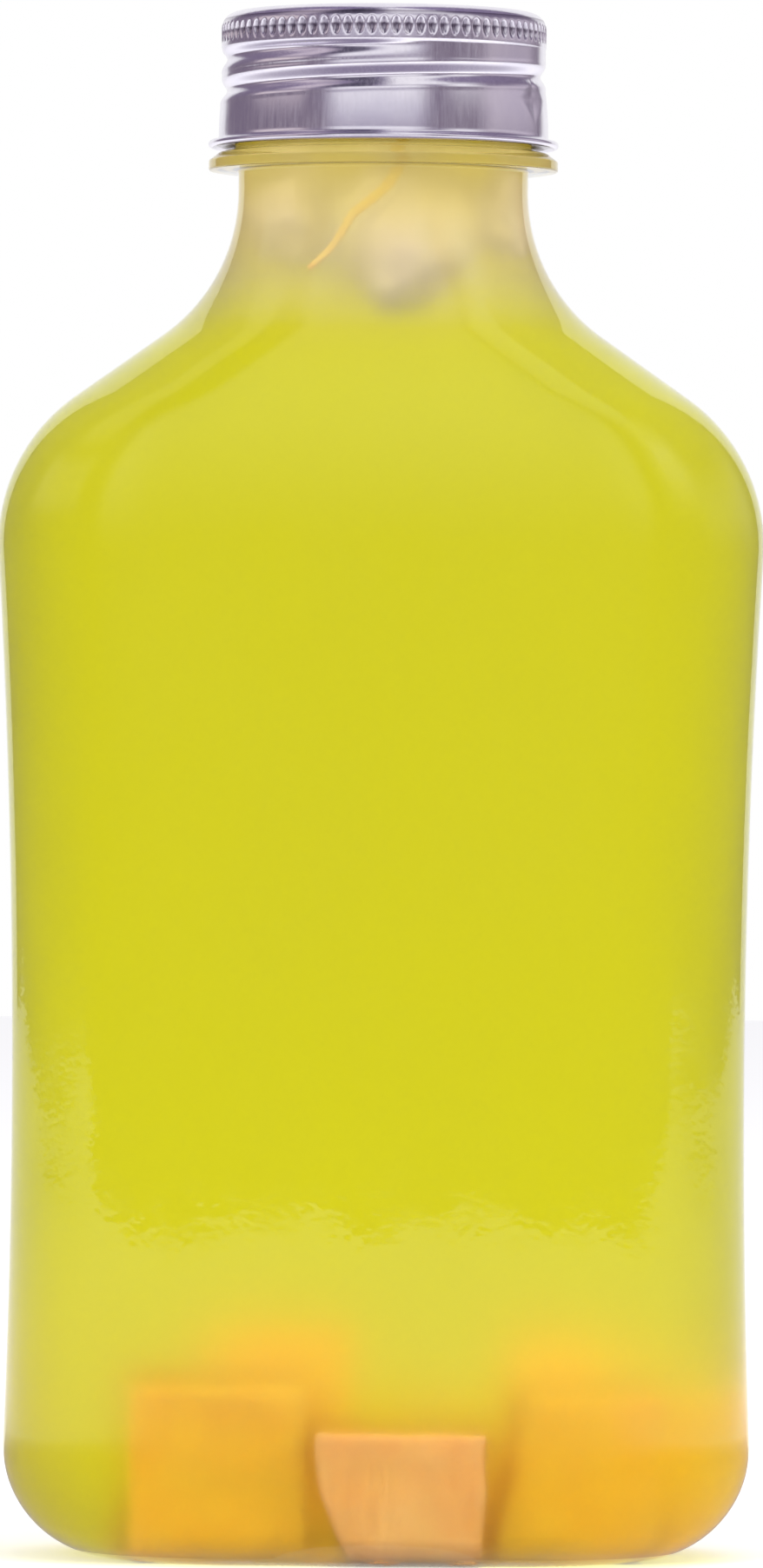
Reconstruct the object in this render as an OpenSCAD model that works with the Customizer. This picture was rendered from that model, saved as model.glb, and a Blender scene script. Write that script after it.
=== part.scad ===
// Flat flask-shaped drink bottle with a rolled aluminium screw cap, filled with a cloudy drink,
// fruit cubes and ice. Millimetres. The origin is the middle of the standing face, +Z is up,
// X runs across the broad face and the front looks along -Y.

/* [Bottle body] */
// Width across the shoulders, the widest place
body_w = 92; // [84:0.5:100]
// Width across the waist
waist_w = 88; // [80:0.5:90]
// Depth from the front panel to the back panel
body_d = 44; // [40:0.5:50]
// Height of the narrowest place of the waist
waist_z = 56; // [45:1:70]
// Height of the widest place, where the shoulder starts
shoulder_z = 121.7; // [105:0.5:140]
// Radius of the upright corners between the panels and the sides
corner_r = 18; // [14:0.5:19.5]
// Rounding of the shoulder
shoulder_r = 21.8; // [16:0.2:24]
// Rounding of the hollow between the shoulder and the neck
neck_fillet_r = 21.5; // [16:0.5:24]
// Turn of the shoulder away from upright at its steepest, in degrees
shoulder_turn = 54.5; // [50:0.5:60]
// Rounding of the foot at the sides
foot_side_r = 13.5; // [8:0.5:16]
// Rounding of the foot at the front and back
foot_front_r = 4; // [3:0.5:6]
// Rise of the hollow under the base
base_rise = 0.8; // [0.4:0.1:1.2]
// Wall of the blown body
body_wall = 0.5; // [0.4:0.05:0.8]
// Thickness of the base
base_wall = 0.9; // [0.7:0.1:1.4]

/* [Neck finish] */
// Outside diameter of the neck under the support ring
neck_d = 34.9; // [33:0.1:36]
// Wall of the neck
neck_wall = 1.25; // [1:0.05:1.6]
// Straight neck between the fillet and the support ring
neck_straight = 2.4; // [1.5:0.1:6]
// Outside diameter of the support ring
ring_d = 42.1; // [41:0.1:45]
// Height of the ring's upright edge
ring_edge = 1.2; // [0.8:0.1:1.5]
// Height of the sloped top of the ring
ring_slope = 0.9; // [0.6:0.1:1.1]
// Height of the mouth's rim above the ring's underside
finish_h = 17.7; // [17:0.1:20]
// Diameter of the threaded wall at the root of the thread
root_d = 35.8; // [35.4:0.1:36.2]
// Diameter over the thread
thread_d = 38; // [37.8:0.1:38.2]
// Rise of the thread in one turn
pitch = 3.8; // [3.6:0.1:4]
// Turns of the thread on the mouth
thread_turns = 1.05; // [0.9:0.05:1.2]

/* [Cap] */
// Diameter over the knurled band
cap_d = 39.14; // [39:0.02:39.6]
// Thickness of the aluminium sheet
sheet = 0.24; // [0.2:0.01:0.26]
// Rounding of the top edge
cap_edge_r = 2; // [1.6:0.1:2.4]
// Number of flutes in the knurled band
flutes = 84; // [60:2:96]
// Height of a flute
flute_h = 2.8; // [2.4:0.1:3]
// Depth of a flute
flute_depth = 0.38; // [0.2:0.02:0.4]
// Depth of the rolled thread groove
groove_depth = 0.62; // [0.5:0.02:0.64]
// Half of the height of the rolled thread groove
groove_half = 1.35; // [1.1:0.05:1.4]
// Radius of the curled lower edge's section
curl_r = 0.45; // [0.4:0.05:0.5]
// Diameter over the curled edge
curl_d = 42.2; // [41.8:0.1:42.6]
// Depth of the small crease dent in the skirt
dent_depth = 0.45; // [0.2:0.05:0.5]
// Direction of the dent, in degrees counter-clockwise from +X
dent_angle = 336; // [300:2:350]
// Thickness of the sealing liner
liner_t = 1.1; // [0.8:0.1:1.4]

/* [Contents] */
// Height of the drink's surface above the ring's underside
fill_above_ring = 1.2; // [0.5:0.1:2]
// Clearance between the drink and the bottle's wall
film = 0.1; // [0.05:0.01:0.15]
// Clearance between the drink and the pieces in it
piece_gap = 0.06; // [0.04:0.01:0.1]
// Size of the edge rounding of the fruit cubes
fruit_round = 0.8; // [0.5:0.1:1]
// Thickness of the pulp strand
strand_t = 0.8; // [0.6:0.1:1]

/* [Hidden] */

// Points on each quarter of a body section, and rings along each stretch of the outline
quarter_n = 9;
foot_rings = 6;
waist_rings = 6;
shoulder_rings = 5;
fillet_rings = 6;
round_fn = 96;

// Radii, and the outline's tangent points from the foot to the neck
neck_r = neck_d / 2;
bore_r = neck_r - neck_wall;
arc_c_r = body_w / 2 - shoulder_r;
waist_turn = atan((body_w - waist_w) / (shoulder_z - waist_z));
arc_z = shoulder_z - shoulder_r * sin(waist_turn);
arc_w = arc_c_r + shoulder_r * cos(waist_turn);
waist_k = (arc_w - waist_w / 2) / pow(arc_z - waist_z, 2);
slope_top_w = arc_c_r + shoulder_r * cos(shoulder_turn);
slope_top_z = shoulder_z + shoulder_r * sin(shoulder_turn);
fillet_w = neck_r + neck_fillet_r * (1 - cos(shoulder_turn));
fillet_z = slope_top_z + (slope_top_w - fillet_w) / tan(shoulder_turn);
neck_z = fillet_z + neck_fillet_r * sin(shoulder_turn);
// The blown wall runs up into the moulded neck's wall, this far inside its faces
seam_tuck = 0.03;
seam_lap = 0.4;

// Heights of the neck finish and the cap
ring_z = neck_z + neck_straight;
finish_z = ring_z + ring_edge + ring_slope;
rim_z = ring_z + finish_h;
fill_z = ring_z + fill_above_ring;
rest_gap = 0.02;
liner_z = rim_z + rest_gap;
cap_under = liner_z + liner_t + rest_gap;
cap_top = cap_under + sheet;

// Cap wall: knurled band, thread band, skirt and curl, from the top down
cap_r = cap_d / 2;
knurl_in_r = cap_r - flute_depth - sheet;
flute_w = 0.76 * PI * cap_d / flutes;
knurl_z = cap_top - cap_edge_r - flute_h / 2 + 0.8;
band_z = knurl_z - flute_h / 2 - 0.4;
band_r = cap_r - 0.07;
curl_c_r = curl_d / 2 - curl_r;
curl_z = finish_z + 0.65 + curl_r;
skirt_r = curl_c_r - curl_r - 0.35;
skirt_z = curl_z + 1;

// Thread on the mouth: its upper end, and the rolled groove half a turn below it
thread_top_z = band_z - 0.85;
thread_end = 407;
thread_start = thread_end - 360 * thread_turns;
groove_start = 110;
groove_end = 650;
groove_fade = 50;

function mix(a, b, t) = a + (b - a) * t;
function clamp01(t) = min(1, max(0, t));
function ease(t) = let (u = clamp01(t)) u * u * (3 - 2 * u);

// Outline of the body: half of the width at a height
function waist_half(z) = waist_w / 2 + waist_k * pow(z - waist_z, 2);
foot_w = waist_half(foot_side_r);
function half_w(z) =
    z < foot_side_r ? foot_w - foot_side_r + sqrt(pow(foot_side_r, 2) - pow(foot_side_r - z, 2)) :
    z < arc_z ? waist_half(z) :
    z < slope_top_z ? arc_c_r + sqrt(pow(shoulder_r, 2) - pow(z - shoulder_z, 2)) :
    z < fillet_z ? mix(slope_top_w, fillet_w, (z - slope_top_z) / (fillet_z - slope_top_z)) :
    z < neck_z ? neck_r + neck_fillet_r - sqrt(pow(neck_fillet_r, 2) - pow(neck_z - z, 2)) :
    neck_r;

// How far a height is up the shoulder: 0 on the body, 1 at the neck
function neckness(z) = z < shoulder_z ? 0 : 1 - (half_w(z) - neck_r) / (body_w / 2 - neck_r);
function half_d(z) =
    z < foot_front_r ?
        body_d / 2 - foot_front_r + sqrt(pow(foot_front_r, 2) - pow(foot_front_r - z, 2)) :
    mix(body_d / 2, neck_r, neckness(z));
function wall(z) = mix(body_wall, neck_wall, ease(neckness(z)));

// The inside follows the outside by the wall, with a thicker base
function foot_in(w, r, t, floor_z, z) =
    w - r + (r - t) * sqrt(1 - pow((r - max(z, floor_z)) / (r - floor_z), 2));
function in_w(z, gap) = z < foot_side_r ?
    foot_in(foot_w, foot_side_r, body_wall + gap, base_wall + gap, z) : half_w(z) - wall(z) - gap;
function in_d(z, gap) = z < foot_front_r ?
    foot_in(body_d / 2, foot_front_r, body_wall + gap, base_wall + gap, z) :
    half_d(z) - wall(z) - gap;

// Share of the half depth that the upright corners take up, largest at the foot and the neck
foot_roundness = 0.88;
function roundness(z) = z < foot_side_r ?
    mix(foot_roundness, 2 * corner_r / body_d, ease(z / foot_side_r)) :
    mix(2 * corner_r / body_d, 1, neckness(z));

// One closed section: four corner arcs joined by straight panels. The arcs' points lie a little
// outside the round, so that the panels come out at the stated width and depth.
half_step = 45 / quarter_n;
function section(w, d, z, share) = let (r = share * d)
    [for (q = [0:3], i = [0:quarter_n - 1])
        let (a = 90 * q + half_step * (2 * i + 1),
             sx = (q == 0 || q == 3) ? 1 : -1,
             sy = q < 2 ? 1 : -1)
        [sx * (w - r) + r / cos(half_step) * cos(a), sy * (d - r) + r / cos(half_step) * sin(a), z]];
function round_section(r, z) = section(r, r, z, 1);

// Heights of the rings, closer together where the outline turns
foot_steps = [for (i = [0:foot_rings]) 1 - cos(90 * i / foot_rings)];
upper_heights = concat(
    [for (i = [1:waist_rings]) mix(foot_side_r, arc_z, i / waist_rings)],
    [for (i = [1:shoulder_rings])
        shoulder_z + shoulder_r * sin(mix(-waist_turn, shoulder_turn, i / shoulder_rings))],
    [for (i = [0:fillet_rings - 1])
        neck_z - neck_fillet_r * sin(shoulder_turn * (1 - i / fillet_rings))]);
outer_heights = concat([for (s = foot_steps) foot_side_r * s], upper_heights);
function inner_heights(gap) = let (f = base_wall + gap)
    concat([for (s = foot_steps) mix(f, foot_side_r, s)], upper_heights);

function outer_ring(z) = section(half_w(z), half_d(z), z, roundness(z));
function inner_ring(z, gap) = section(in_w(z, gap), in_d(z, gap), z, roundness(z));
function shrink(ring, s, z) = [for (p = ring) [p[0] * s, p[1] * s, z]];

// Hollow under the base: the standing face ends at the first of these rings
base_steps = [[0.72, 0], [0.55, 0.75]];

// Closed skin over a stack of rings, with a point at each end
module stack(first, rings, last) {
    n = len(rings[0]);
    top = 1 + (len(rings) - 1) * n;
    polyhedron(
        concat([first], [for (r = rings) each r], [last]),
        concat(
            [for (i = [0:n - 1]) [0, 1 + i, 1 + (i + 1) % n]],
            [for (k = [0:len(rings) - 2], i = [0:n - 1], half = [0:1])
                let (a = 1 + k * n + i, b = 1 + k * n + (i + 1) % n)
                half == 0 ? [a, a + n, b + n] : [a, b + n, b]],
            [for (i = [0:n - 1]) [top + n, top + (i + 1) % n, top + i]]));
}

// Rotational profile helper: points along an arc
function arc(cx, cy, r, a0, a1, n) =
    [for (i = [0:n]) [cx + r * cos(mix(a0, a1, i / n)), cy + r * sin(mix(a0, a1, i / n))]];

module blown_body() {
    foot = outer_ring(0);
    floor_ring = inner_ring(base_wall, 0);
    outside = concat(
        [for (i = [len(base_steps) - 1:-1:0])
            shrink(foot, base_steps[i][0], base_rise * base_steps[i][1])],
        [for (z = outer_heights) outer_ring(z)],
        [for (z = [neck_z, neck_z + seam_lap]) round_section(neck_r * cos(half_step) - seam_tuck, z)]);
    inside = concat(
        [for (z = [neck_z + seam_lap, neck_z]) round_section(bore_r + seam_tuck, z)],
        [for (i = [len(inner_heights(0)) - 1:-1:0]) inner_ring(inner_heights(0)[i], 0)],
        [for (s = base_steps) shrink(floor_ring, s[0], base_wall + base_rise * s[1])]);
    stack([0, 0, base_rise], concat(outside, inside), [0, 0, base_wall + base_rise]);
}

// Moulded finish: neck, support ring, threaded wall and rim
module neck_finish() {
    rim_round = 0.5;
    ring_shoulder = 2.45;
    root_r = root_d / 2;
    rotate_extrude($fn = round_fn)
        polygon(concat(
            [[bore_r, neck_z], [neck_r, neck_z], [neck_r, ring_z], [ring_d / 2, ring_z],
             [ring_d / 2, ring_z + ring_edge], [neck_r + ring_shoulder, finish_z],
             [root_r, finish_z + 0.4]],
            arc(root_r - rim_round, rim_z - rim_round, rim_round, 0, 90, 4),
            arc(bore_r + rim_round, rim_z - rim_round, rim_round, 90, 180, 4)));
}

// Thread: a ridge that follows the helix and fades out at both ends
thread_step = 10;
function thread_z(a) = thread_top_z - pitch * (thread_end - a) / 360;
function thread_fade(a) = ease((a - thread_start) / 30) * ease((thread_end - a) / 30);
function around(a, r, z) = [r * cos(a), r * sin(a), z];
function thread_section(a) = let (
        root = root_d / 2 - 0.3,
        crest = mix(root + 0.1, thread_d / 2, thread_fade(a)))
    [for (p = [[root, 1], [crest, 0.45], [crest, -0.45], [root, -1]])
        around(a, p[0], thread_z(a) + p[1])];
module mouth_thread() {
    steps = round((thread_end - thread_start) / thread_step);
    middle_r = root_d / 2 - 0.25;
    stack(
        around(thread_start, middle_r, thread_z(thread_start)),
        [for (i = [0:steps]) thread_section(mix(thread_start, thread_end, i / steps))],
        around(thread_end, middle_r, thread_z(thread_end)));
}

module bottle() {
    color([0.93, 0.93, 0.82, 0.45]) {
        blown_body();
        neck_finish();
        mouth_thread();
    }
}

// Cap, upper part: flat top, rounded edge and knurled band
module flute_cutter() {
    lens_r = (pow(flute_h / 2, 2) + pow(flute_w / 2, 2)) / flute_w;
    rotate_extrude($fn = 32)
        intersection() {
            translate([flute_w / 2 - lens_r, 0]) circle(lens_r, $fn = 64);
            translate([0, -flute_h / 2]) square([flute_w, flute_h]);
        }
}
module cap_crown() {
    difference() {
        rotate_extrude($fn = round_fn)
            polygon(concat(
                [[0, cap_under], [0, cap_top]],
                arc(cap_r - cap_edge_r, cap_top - cap_edge_r, cap_edge_r, 90, 0, 6),
                [[cap_r, band_z], [knurl_in_r, band_z]],
                [[knurl_in_r, cap_under - 1.1], [knurl_in_r - 0.7, cap_under]]));
        for (i = [0:flutes - 1])
            rotate(360 * i / flutes)
                translate([cap_r + flute_w / 2 - flute_depth, 0, knurl_z])
                    flute_cutter();
    }
}

// Cap, lower part: the wall's outer radius at an angle and a height
function groove_z(a) = thread_top_z - pitch * (thread_end - a) / 360 - pitch / 2;
function groove_here(a, z) = a < groove_start || a > groove_end ? 0 :
    let (u = abs(z - groove_z(a)) / groove_half)
    u > 1 ? 0 : pow(cos(90 * u), 2) * ease((a - groove_start) / groove_fade)
        * ease((groove_end - a) / groove_fade);
function groove(a, z) = max([for (turn = [0:1]) groove_here(a + 360 * turn, z)]);
function dent(a, z) = let (
        across = abs(a - dent_angle) / 10,
        up = abs(z - (skirt_z + 4)) / 2.6)
    max(0, 1 - across - up);
function cap_wall_r(a, z) =
    mix(skirt_r, band_r, ease((z - skirt_z) / (band_z - skirt_z - 5)))
        - groove_depth * groove(a, z) * ease((band_z - z) / 0.6)
        - dent_depth * dent(a, z);

wall_n = 54;
band_rows = 14;
skirt_rows = 4;
skirt_top_z = skirt_z + 4.2;
band_lap = 0.3;
wall_heights = concat(
    [band_z + band_lap],
    [for (i = [0:band_rows - 1]) mix(band_z, skirt_top_z, i / band_rows)],
    [for (i = [0:skirt_rows]) mix(skirt_top_z, skirt_z, i / skirt_rows)]);
curl_angles = [100:-40:-140];
// One upright outline of the wall: down the outside, round the curl and up the inside
function wall_outline(a) = concat(
    [for (z = wall_heights) [cap_wall_r(a, z), z]],
    [for (t = curl_angles) [curl_c_r + curl_r * cos(t), curl_z + curl_r * sin(t)]],
    [[skirt_r - sheet, curl_z - curl_r * 0.6]],
    [for (i = [len(wall_heights) - 1:-1:0])
        [cap_wall_r(a, wall_heights[i]) - sheet, wall_heights[i]]]);
module cap_wall() {
    n = len(wall_outline(0));
    points = [for (k = [0:wall_n - 1], p = wall_outline(360 * k / wall_n))
        around(360 * k / wall_n, p[0], p[1])];
    polyhedron(points,
        [for (k = [0:wall_n - 1], i = [0:n - 1], half = [0:1])
            let (a = k * n, b = (k + 1) % wall_n * n, j = (i + 1) % n)
            half == 0 ? [a + i, b + j, a + j] : [a + i, b + i, b + j]]);
}

module cap() {
    color([0.76, 0.75, 0.8]) {
        cap_crown();
        cap_wall();
    }
}

module liner() {
    color([0.94, 0.94, 0.92])
        translate([0, 0, liner_z])
            cylinder(h = liner_t, r = knurl_in_r - 0.75, $fn = round_fn);
}

// Fruit cube. Its width and its place across are shares of the room's width, and its depth, its
// height and its place from front to back are shares of the room's depth. The top of each side
// leans out or in. Grown, it is the room that it takes up in the drink, down to the floor.
inside_w = body_w - 2 * body_wall;
inside_d = body_d - 2 * body_wall;
floor_z = base_wall + base_rise + film;
module fruit(size, at, turn = 0, left = 0, right = 0, back_drop = 0, lift = 0, grow = 0) {
    r = fruit_round;
    w = size[0] * inside_w / 2 - r;
    d = size[1] * inside_d / 2 - r;
    h = size[2] * inside_d - r;
    foot = grow > 0 ? r - base_rise - 2 * film : r;
    low = 1.2;
    color([1, 0.68, 0.3])
        translate([at[0] * inside_w, at[1] * inside_d, floor_z + lift]) rotate(turn)
            hull()
                for (c = [[-w, -d + low, foot], [w, -d + low, foot], [w, d, foot], [-w, d, foot],
                          [-w, -d, r + low], [w, -d, r + low],
                          [-w - left, -d, h], [w + right, -d, h],
                          [w + right, d, h - back_drop], [-w - left, d, h - back_drop]])
                    translate(c) sphere(r + grow, $fn = 6);
}
module fruit_left(grow = 0) {
    fruit([0.231, 0.36, 0.451], [-0.204, -0.206], 0, 0.2, -0.2, -1.5, 0, grow);
}
module fruit_middle(grow = 0) {
    fruit([0.214, 0.348, 0.33], [0.036, -0.306], 0, 0.9, 0.3, -0.8, 0, grow);
}
module fruit_right(grow = 0) {
    fruit([0.193, 0.349, 0.428], [0.25, -0.173], 6, -2.6, 1.6, -1, 0, grow);
}
module fruit_back_left(grow = 0) {
    fruit([0.198, 0.384, 0.605], [-0.143, 0.266], 6, -1.5, 0.5, 1, 0, grow);
}
module fruit_back_middle(grow = 0) {
    fruit([0.165, 0.349, 0.349], [0.071, 0.283], -5, 0, 0.4, 0.5, 0, grow);
}
module fruit_back_right(grow = 0) {
    fruit([0.147, 0.314, 0.535], [0.248, 0.201], -4, 0, -0.8, -1.5, 0, grow);
}
module fruit_far_right(grow = 0) {
    fruit([0.07, 0.223, 0.395], [0.369, 0.155], -2, 0, 1.6, 0.5, 1.2, grow);
}

// Ice lump: a sphere with uneven waves in it. Its half sizes, its place and how far its middle
// lies below the top are shares of the bore's radius.
ice_n = 16;
ice_rows = 7;
function lump(size, wave, lat, lon) = let (
        k = 0.9 + 0.06 * sin(3 * lon + wave) * cos(lat) + 0.04 * sin(2 * lon - 3 * lat + 2 * wave))
    [size[0] * k * cos(lat) * cos(lon), size[1] * k * cos(lat) * sin(lon), size[2] * k * sin(lat)];
ice_top = fill_z + 0.6;
module ice(size, place, depth, wave, grow = 0) {
    grown = [for (s = size) s * bore_r + grow];
    at = [place[0] * bore_r, place[1] * bore_r, ice_top - depth * bore_r];
    color([0.86, 0.84, 0.74])
        stack(
            at + lump(grown, wave, -90, 0),
            [for (j = [1:ice_rows]) [for (i = [0:ice_n - 1])
                at + lump(grown, wave, -90 + 180 * j / (ice_rows + 1), 360 * i / ice_n)]],
            at + lump(grown, wave, 90, 0));
}
module ice_left(grow = 0) { ice([0.32, 0.43, 0.49], [-0.58, -0.185], 0.444, 20, grow); }
module ice_middle(grow = 0) { ice([0.494, 0.457, 0.654], [0.181, -0.309], 0.586, 75, grow); }
module ice_right(grow = 0) { ice([0.185, 0.333, 0.457], [0.784, -0.062], 0.414, 140, grow); }
module ice_back(grow = 0) { ice([0.516, 0.321, 0.494], [0.031, 0.519], 0.444, 200, grow); }

// Pulp strand: a thin thread that hangs from the surface between the ice and the front wall. Its
// route is in shares of the bore's radius, from the middle of the ring's underside.
strand_route = [[0.136, -0.84, 0.148], [0.123, -0.846, 0.012], [0.037, -0.858, -0.148],
                [-0.099, -0.864, -0.272], [-0.222, -0.87, -0.37], [-0.284, -0.889, -0.494],
                [-0.383, -0.914, -0.642], [-0.531, -0.926, -0.778]];
strand_path = [for (p = strand_route) p * bore_r];
strand_n = 6;
module pulp_strand(grow = 0) {
    count = len(strand_path);
    rings = [for (k = [0:count - 1]) let (
            p = strand_path[k],
            q = strand_path[min(k + 1, count - 1)] - strand_path[max(k - 1, 0)],
            side = [q[2], 0, -q[0]] / norm([q[2], 0, -q[0]]),
            r = strand_t / 2 * (k == count - 1 ? 0.5 : 1) + grow)
        [for (i = [0:strand_n - 1])
            [p[0], p[1], ring_z + p[2]] + r * cos(360 * i / strand_n) * side
                + r * sin(360 * i / strand_n) * [0, 1, 0]]];
    color([0.86, 0.74, 0.2])
        stack(
            strand_path[0] + [0, 0, ring_z + grow],
            rings,
            strand_path[count - 1] + [0, 0, ring_z - grow]);
}

// Drink: fills the bottle to its level, with room for every piece in it
module drink_volume() {
    heights = inner_heights(film);
    floor_ring = inner_ring(heights[0], film);
    rings = concat(
        [for (i = [len(base_steps) - 1:-1:0])
            shrink(floor_ring, base_steps[i][0], heights[0] + base_rise * base_steps[i][1])],
        [for (z = heights) inner_ring(z, film)],
        [for (z = [neck_z, fill_z]) round_section(bore_r * cos(half_step) - film, z)]);
    stack([0, 0, heights[0] + base_rise], rings, [0, 0, fill_z]);
}
module drink() {
    color([0.82, 0.81, 0.16])
        difference() {
            drink_volume();
            fruit_left(piece_gap);
            fruit_middle(piece_gap);
            fruit_right(piece_gap);
            fruit_back_left(piece_gap);
            fruit_back_middle(piece_gap);
            fruit_back_right(piece_gap);
            fruit_far_right(piece_gap);
            ice_left(piece_gap);
            ice_middle(piece_gap);
            ice_right(piece_gap);
            ice_back(piece_gap);
            pulp_strand(piece_gap);
        }
}

bottle();
cap();
liner();
drink();
fruit_left();
fruit_middle();
fruit_right();
fruit_back_left();
fruit_back_middle();
fruit_back_right();
fruit_far_right();
ice_left();
ice_middle();
ice_right();
ice_back();
pulp_strand();
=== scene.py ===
"""Looks of a flat drink bottle with a rolled aluminium cap, a cloudy drink, fruit cubes and ice."""

import math

import bpy
import numpy as np
from mathutils import Matrix, Vector, noise


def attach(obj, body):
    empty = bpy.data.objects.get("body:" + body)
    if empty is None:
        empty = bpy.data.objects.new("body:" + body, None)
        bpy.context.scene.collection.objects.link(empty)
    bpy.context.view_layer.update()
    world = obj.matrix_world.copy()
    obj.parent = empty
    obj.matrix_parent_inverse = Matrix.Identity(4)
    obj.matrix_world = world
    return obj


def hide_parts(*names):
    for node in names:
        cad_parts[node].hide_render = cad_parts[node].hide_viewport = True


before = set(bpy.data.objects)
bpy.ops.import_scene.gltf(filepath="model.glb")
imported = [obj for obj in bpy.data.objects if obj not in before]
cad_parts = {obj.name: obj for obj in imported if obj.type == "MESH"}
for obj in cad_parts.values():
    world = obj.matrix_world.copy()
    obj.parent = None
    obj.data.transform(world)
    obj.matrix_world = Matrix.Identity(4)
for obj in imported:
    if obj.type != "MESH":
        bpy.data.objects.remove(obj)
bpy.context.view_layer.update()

# Sizes below are in millimetres, with the names that the part's source uses
MM = 0.001

# Body
body_w, waist_w, body_d = 92.0, 88.0, 44.0
waist_z, shoulder_z = 56.0, 121.7
corner_r, shoulder_r, neck_fillet_r = 18.0, 21.8, 21.5
shoulder_turn = math.radians(54.5)
foot_side_r, foot_front_r, foot_roundness = 13.5, 4.0, 0.88
base_rise, base_ring_share = 0.8, 0.72
body_wall, base_wall = 0.5, 0.9

# Neck finish
neck_r, neck_wall, neck_straight = 17.45, 1.25, 2.4
bore_r = neck_r - neck_wall
ring_r, ring_edge, ring_slope, ring_shoulder = 21.05, 1.2, 0.9, 2.45
root_r, thread_r, pitch, finish_h = 17.9, 19.0, 3.8, 17.7
thread_start, thread_end, thread_fade = 29.0, 407.0, 30.0

# Cap
cap_r, sheet, cap_edge_r, liner_t = 19.57, 0.24, 2.0, 1.1
flutes, flute_h, flute_depth = 84, 2.8, 0.38
groove_depth, groove_half = 0.62, 1.35
groove_start, groove_end, groove_fade = 110.0, 650.0, 50.0
curl_r, curl_c_r = 0.45, 20.65
dent_depth, dent_angle, dent_half_turn, dent_half_h = 0.22, 336.0, 12.0, 3.0

# Contents
fill_above_ring = 3.2  # 2 mm over the solid's level, inside the cap's skirt: the ring looks full
wetting = 0.07  # the drink reaches this far into the wall, so that no air shows between them

# Heights and radii that follow
turned_w = body_w / 2 - shoulder_r
waist_k, waist_turn = 0.000473, math.radians(3.48)
arc_z = shoulder_z - shoulder_r * math.sin(waist_turn)
slope_top_w = turned_w + shoulder_r * math.cos(shoulder_turn)
slope_top_z = shoulder_z + shoulder_r * math.sin(shoulder_turn)
fillet_w = neck_r + neck_fillet_r * (1 - math.cos(shoulder_turn))
fillet_z = slope_top_z + (slope_top_w - fillet_w) / math.tan(shoulder_turn)
neck_z = fillet_z + neck_fillet_r * math.sin(shoulder_turn)
ring_z = neck_z + neck_straight
finish_z = ring_z + ring_edge + ring_slope
rim_z = ring_z + finish_h
fill_z = ring_z + fill_above_ring
cap_under = rim_z + 0.02 + liner_t + 0.02
cap_top = cap_under + sheet
knurl_z = cap_top - cap_edge_r - 0.6
band_z = knurl_z - 1.8
band_r, knurl_in_r = cap_r - 0.07, 18.95
curl_z = finish_z + 0.65 + curl_r
skirt_z, skirt_r = curl_z + 1, curl_c_r - curl_r - 0.35
thread_top_z = rim_z - 3.87
foot_w = waist_w / 2 + waist_k * (foot_side_r - waist_z) ** 2
floor_z = base_rise + base_wall + 0.1

# How finely the meshes are drawn
COLUMNS = 176
CAP_COLUMNS = flutes * 9


# ---------------------------------------------------------------- shape of the bottle
def mix(a, b, t):
    return a + (b - a) * t


def ease(t):
    u = np.clip(t, 0, 1)
    return u * u * (3 - 2 * u)


def waist_half(z):
    return waist_w / 2 + waist_k * (z - waist_z) ** 2


def half_w(z):
    if z < foot_side_r:
        return foot_w - foot_side_r + math.sqrt(foot_side_r**2 - (foot_side_r - z) ** 2)
    if z < arc_z:
        return waist_half(z)
    if z < slope_top_z:
        return turned_w + math.sqrt(shoulder_r**2 - (z - shoulder_z) ** 2)
    if z < fillet_z:
        return mix(slope_top_w, fillet_w, (z - slope_top_z) / (fillet_z - slope_top_z))
    if z < neck_z:
        return neck_r + neck_fillet_r - math.sqrt(neck_fillet_r**2 - (neck_z - z) ** 2)
    return neck_r


def neckness(z):
    return 0 if z < shoulder_z else 1 - (half_w(z) - neck_r) / (body_w / 2 - neck_r)


def half_d(z):
    if z < foot_front_r:
        return body_d / 2 - foot_front_r + math.sqrt(foot_front_r**2 - (foot_front_r - z) ** 2)
    return mix(body_d / 2, neck_r, neckness(z))


def wall(z):
    return mix(body_wall, neck_wall, ease(neckness(z)))


def foot_in(w, r, t, floor, z):
    share = min(1, (r - max(z, floor)) / (r - floor))
    return w - r + (r - t) * math.sqrt(1 - share**2)


def in_w(z, gap):
    if z < foot_side_r:
        return foot_in(foot_w, foot_side_r, body_wall + gap, base_wall + gap, z)
    return half_w(z) - wall(z) - gap


def in_d(z, gap):
    if z < foot_front_r:
        return foot_in(body_d / 2, foot_front_r, body_wall + gap, base_wall + gap, z)
    return half_d(z) - wall(z) - gap


def roundness(z):
    body = 2 * corner_r / body_d
    if z < foot_side_r:
        return mix(foot_roundness, body, ease(z / foot_side_r))
    return mix(body, 1, neckness(z))


def section(w, d, z, share):
    """One closed section. Its points lie closer together round the corners than along the panels."""
    r = share * d
    side, front, turn = d - r, w - r, math.pi * r / 2
    length = side + front + turn
    on_turn = 0.62
    plain = (1 - on_turn) / length
    marks = np.cumsum([0, side * plain, turn * plain + on_turn, front * plain])
    u = 4 * np.arange(COLUMNS) / COLUMNS
    quarter = u.astype(int)
    t = u - quarter
    t = np.where(quarter % 2 == 1, 1 - t, t)
    along_side = np.interp(t, marks[:2], [0, side])
    angle = np.interp(t, marks[1:3], [0, math.pi / 2])
    along_front = np.interp(t, marks[2:], [0, front])
    x = w - r + r * np.cos(angle) - along_front
    y = along_side + r * np.sin(angle)
    x = x * np.where((quarter == 1) | (quarter == 2), -1, 1)
    y = y * np.where(quarter >= 2, -1, 1)
    return np.stack([x, y, np.full(COLUMNS, z)], 1)


def circle(r, z):
    return section(r, r, z, 1)


def spread(a, b, count):
    return list(np.linspace(a, b, count + 1)[1:])


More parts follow.
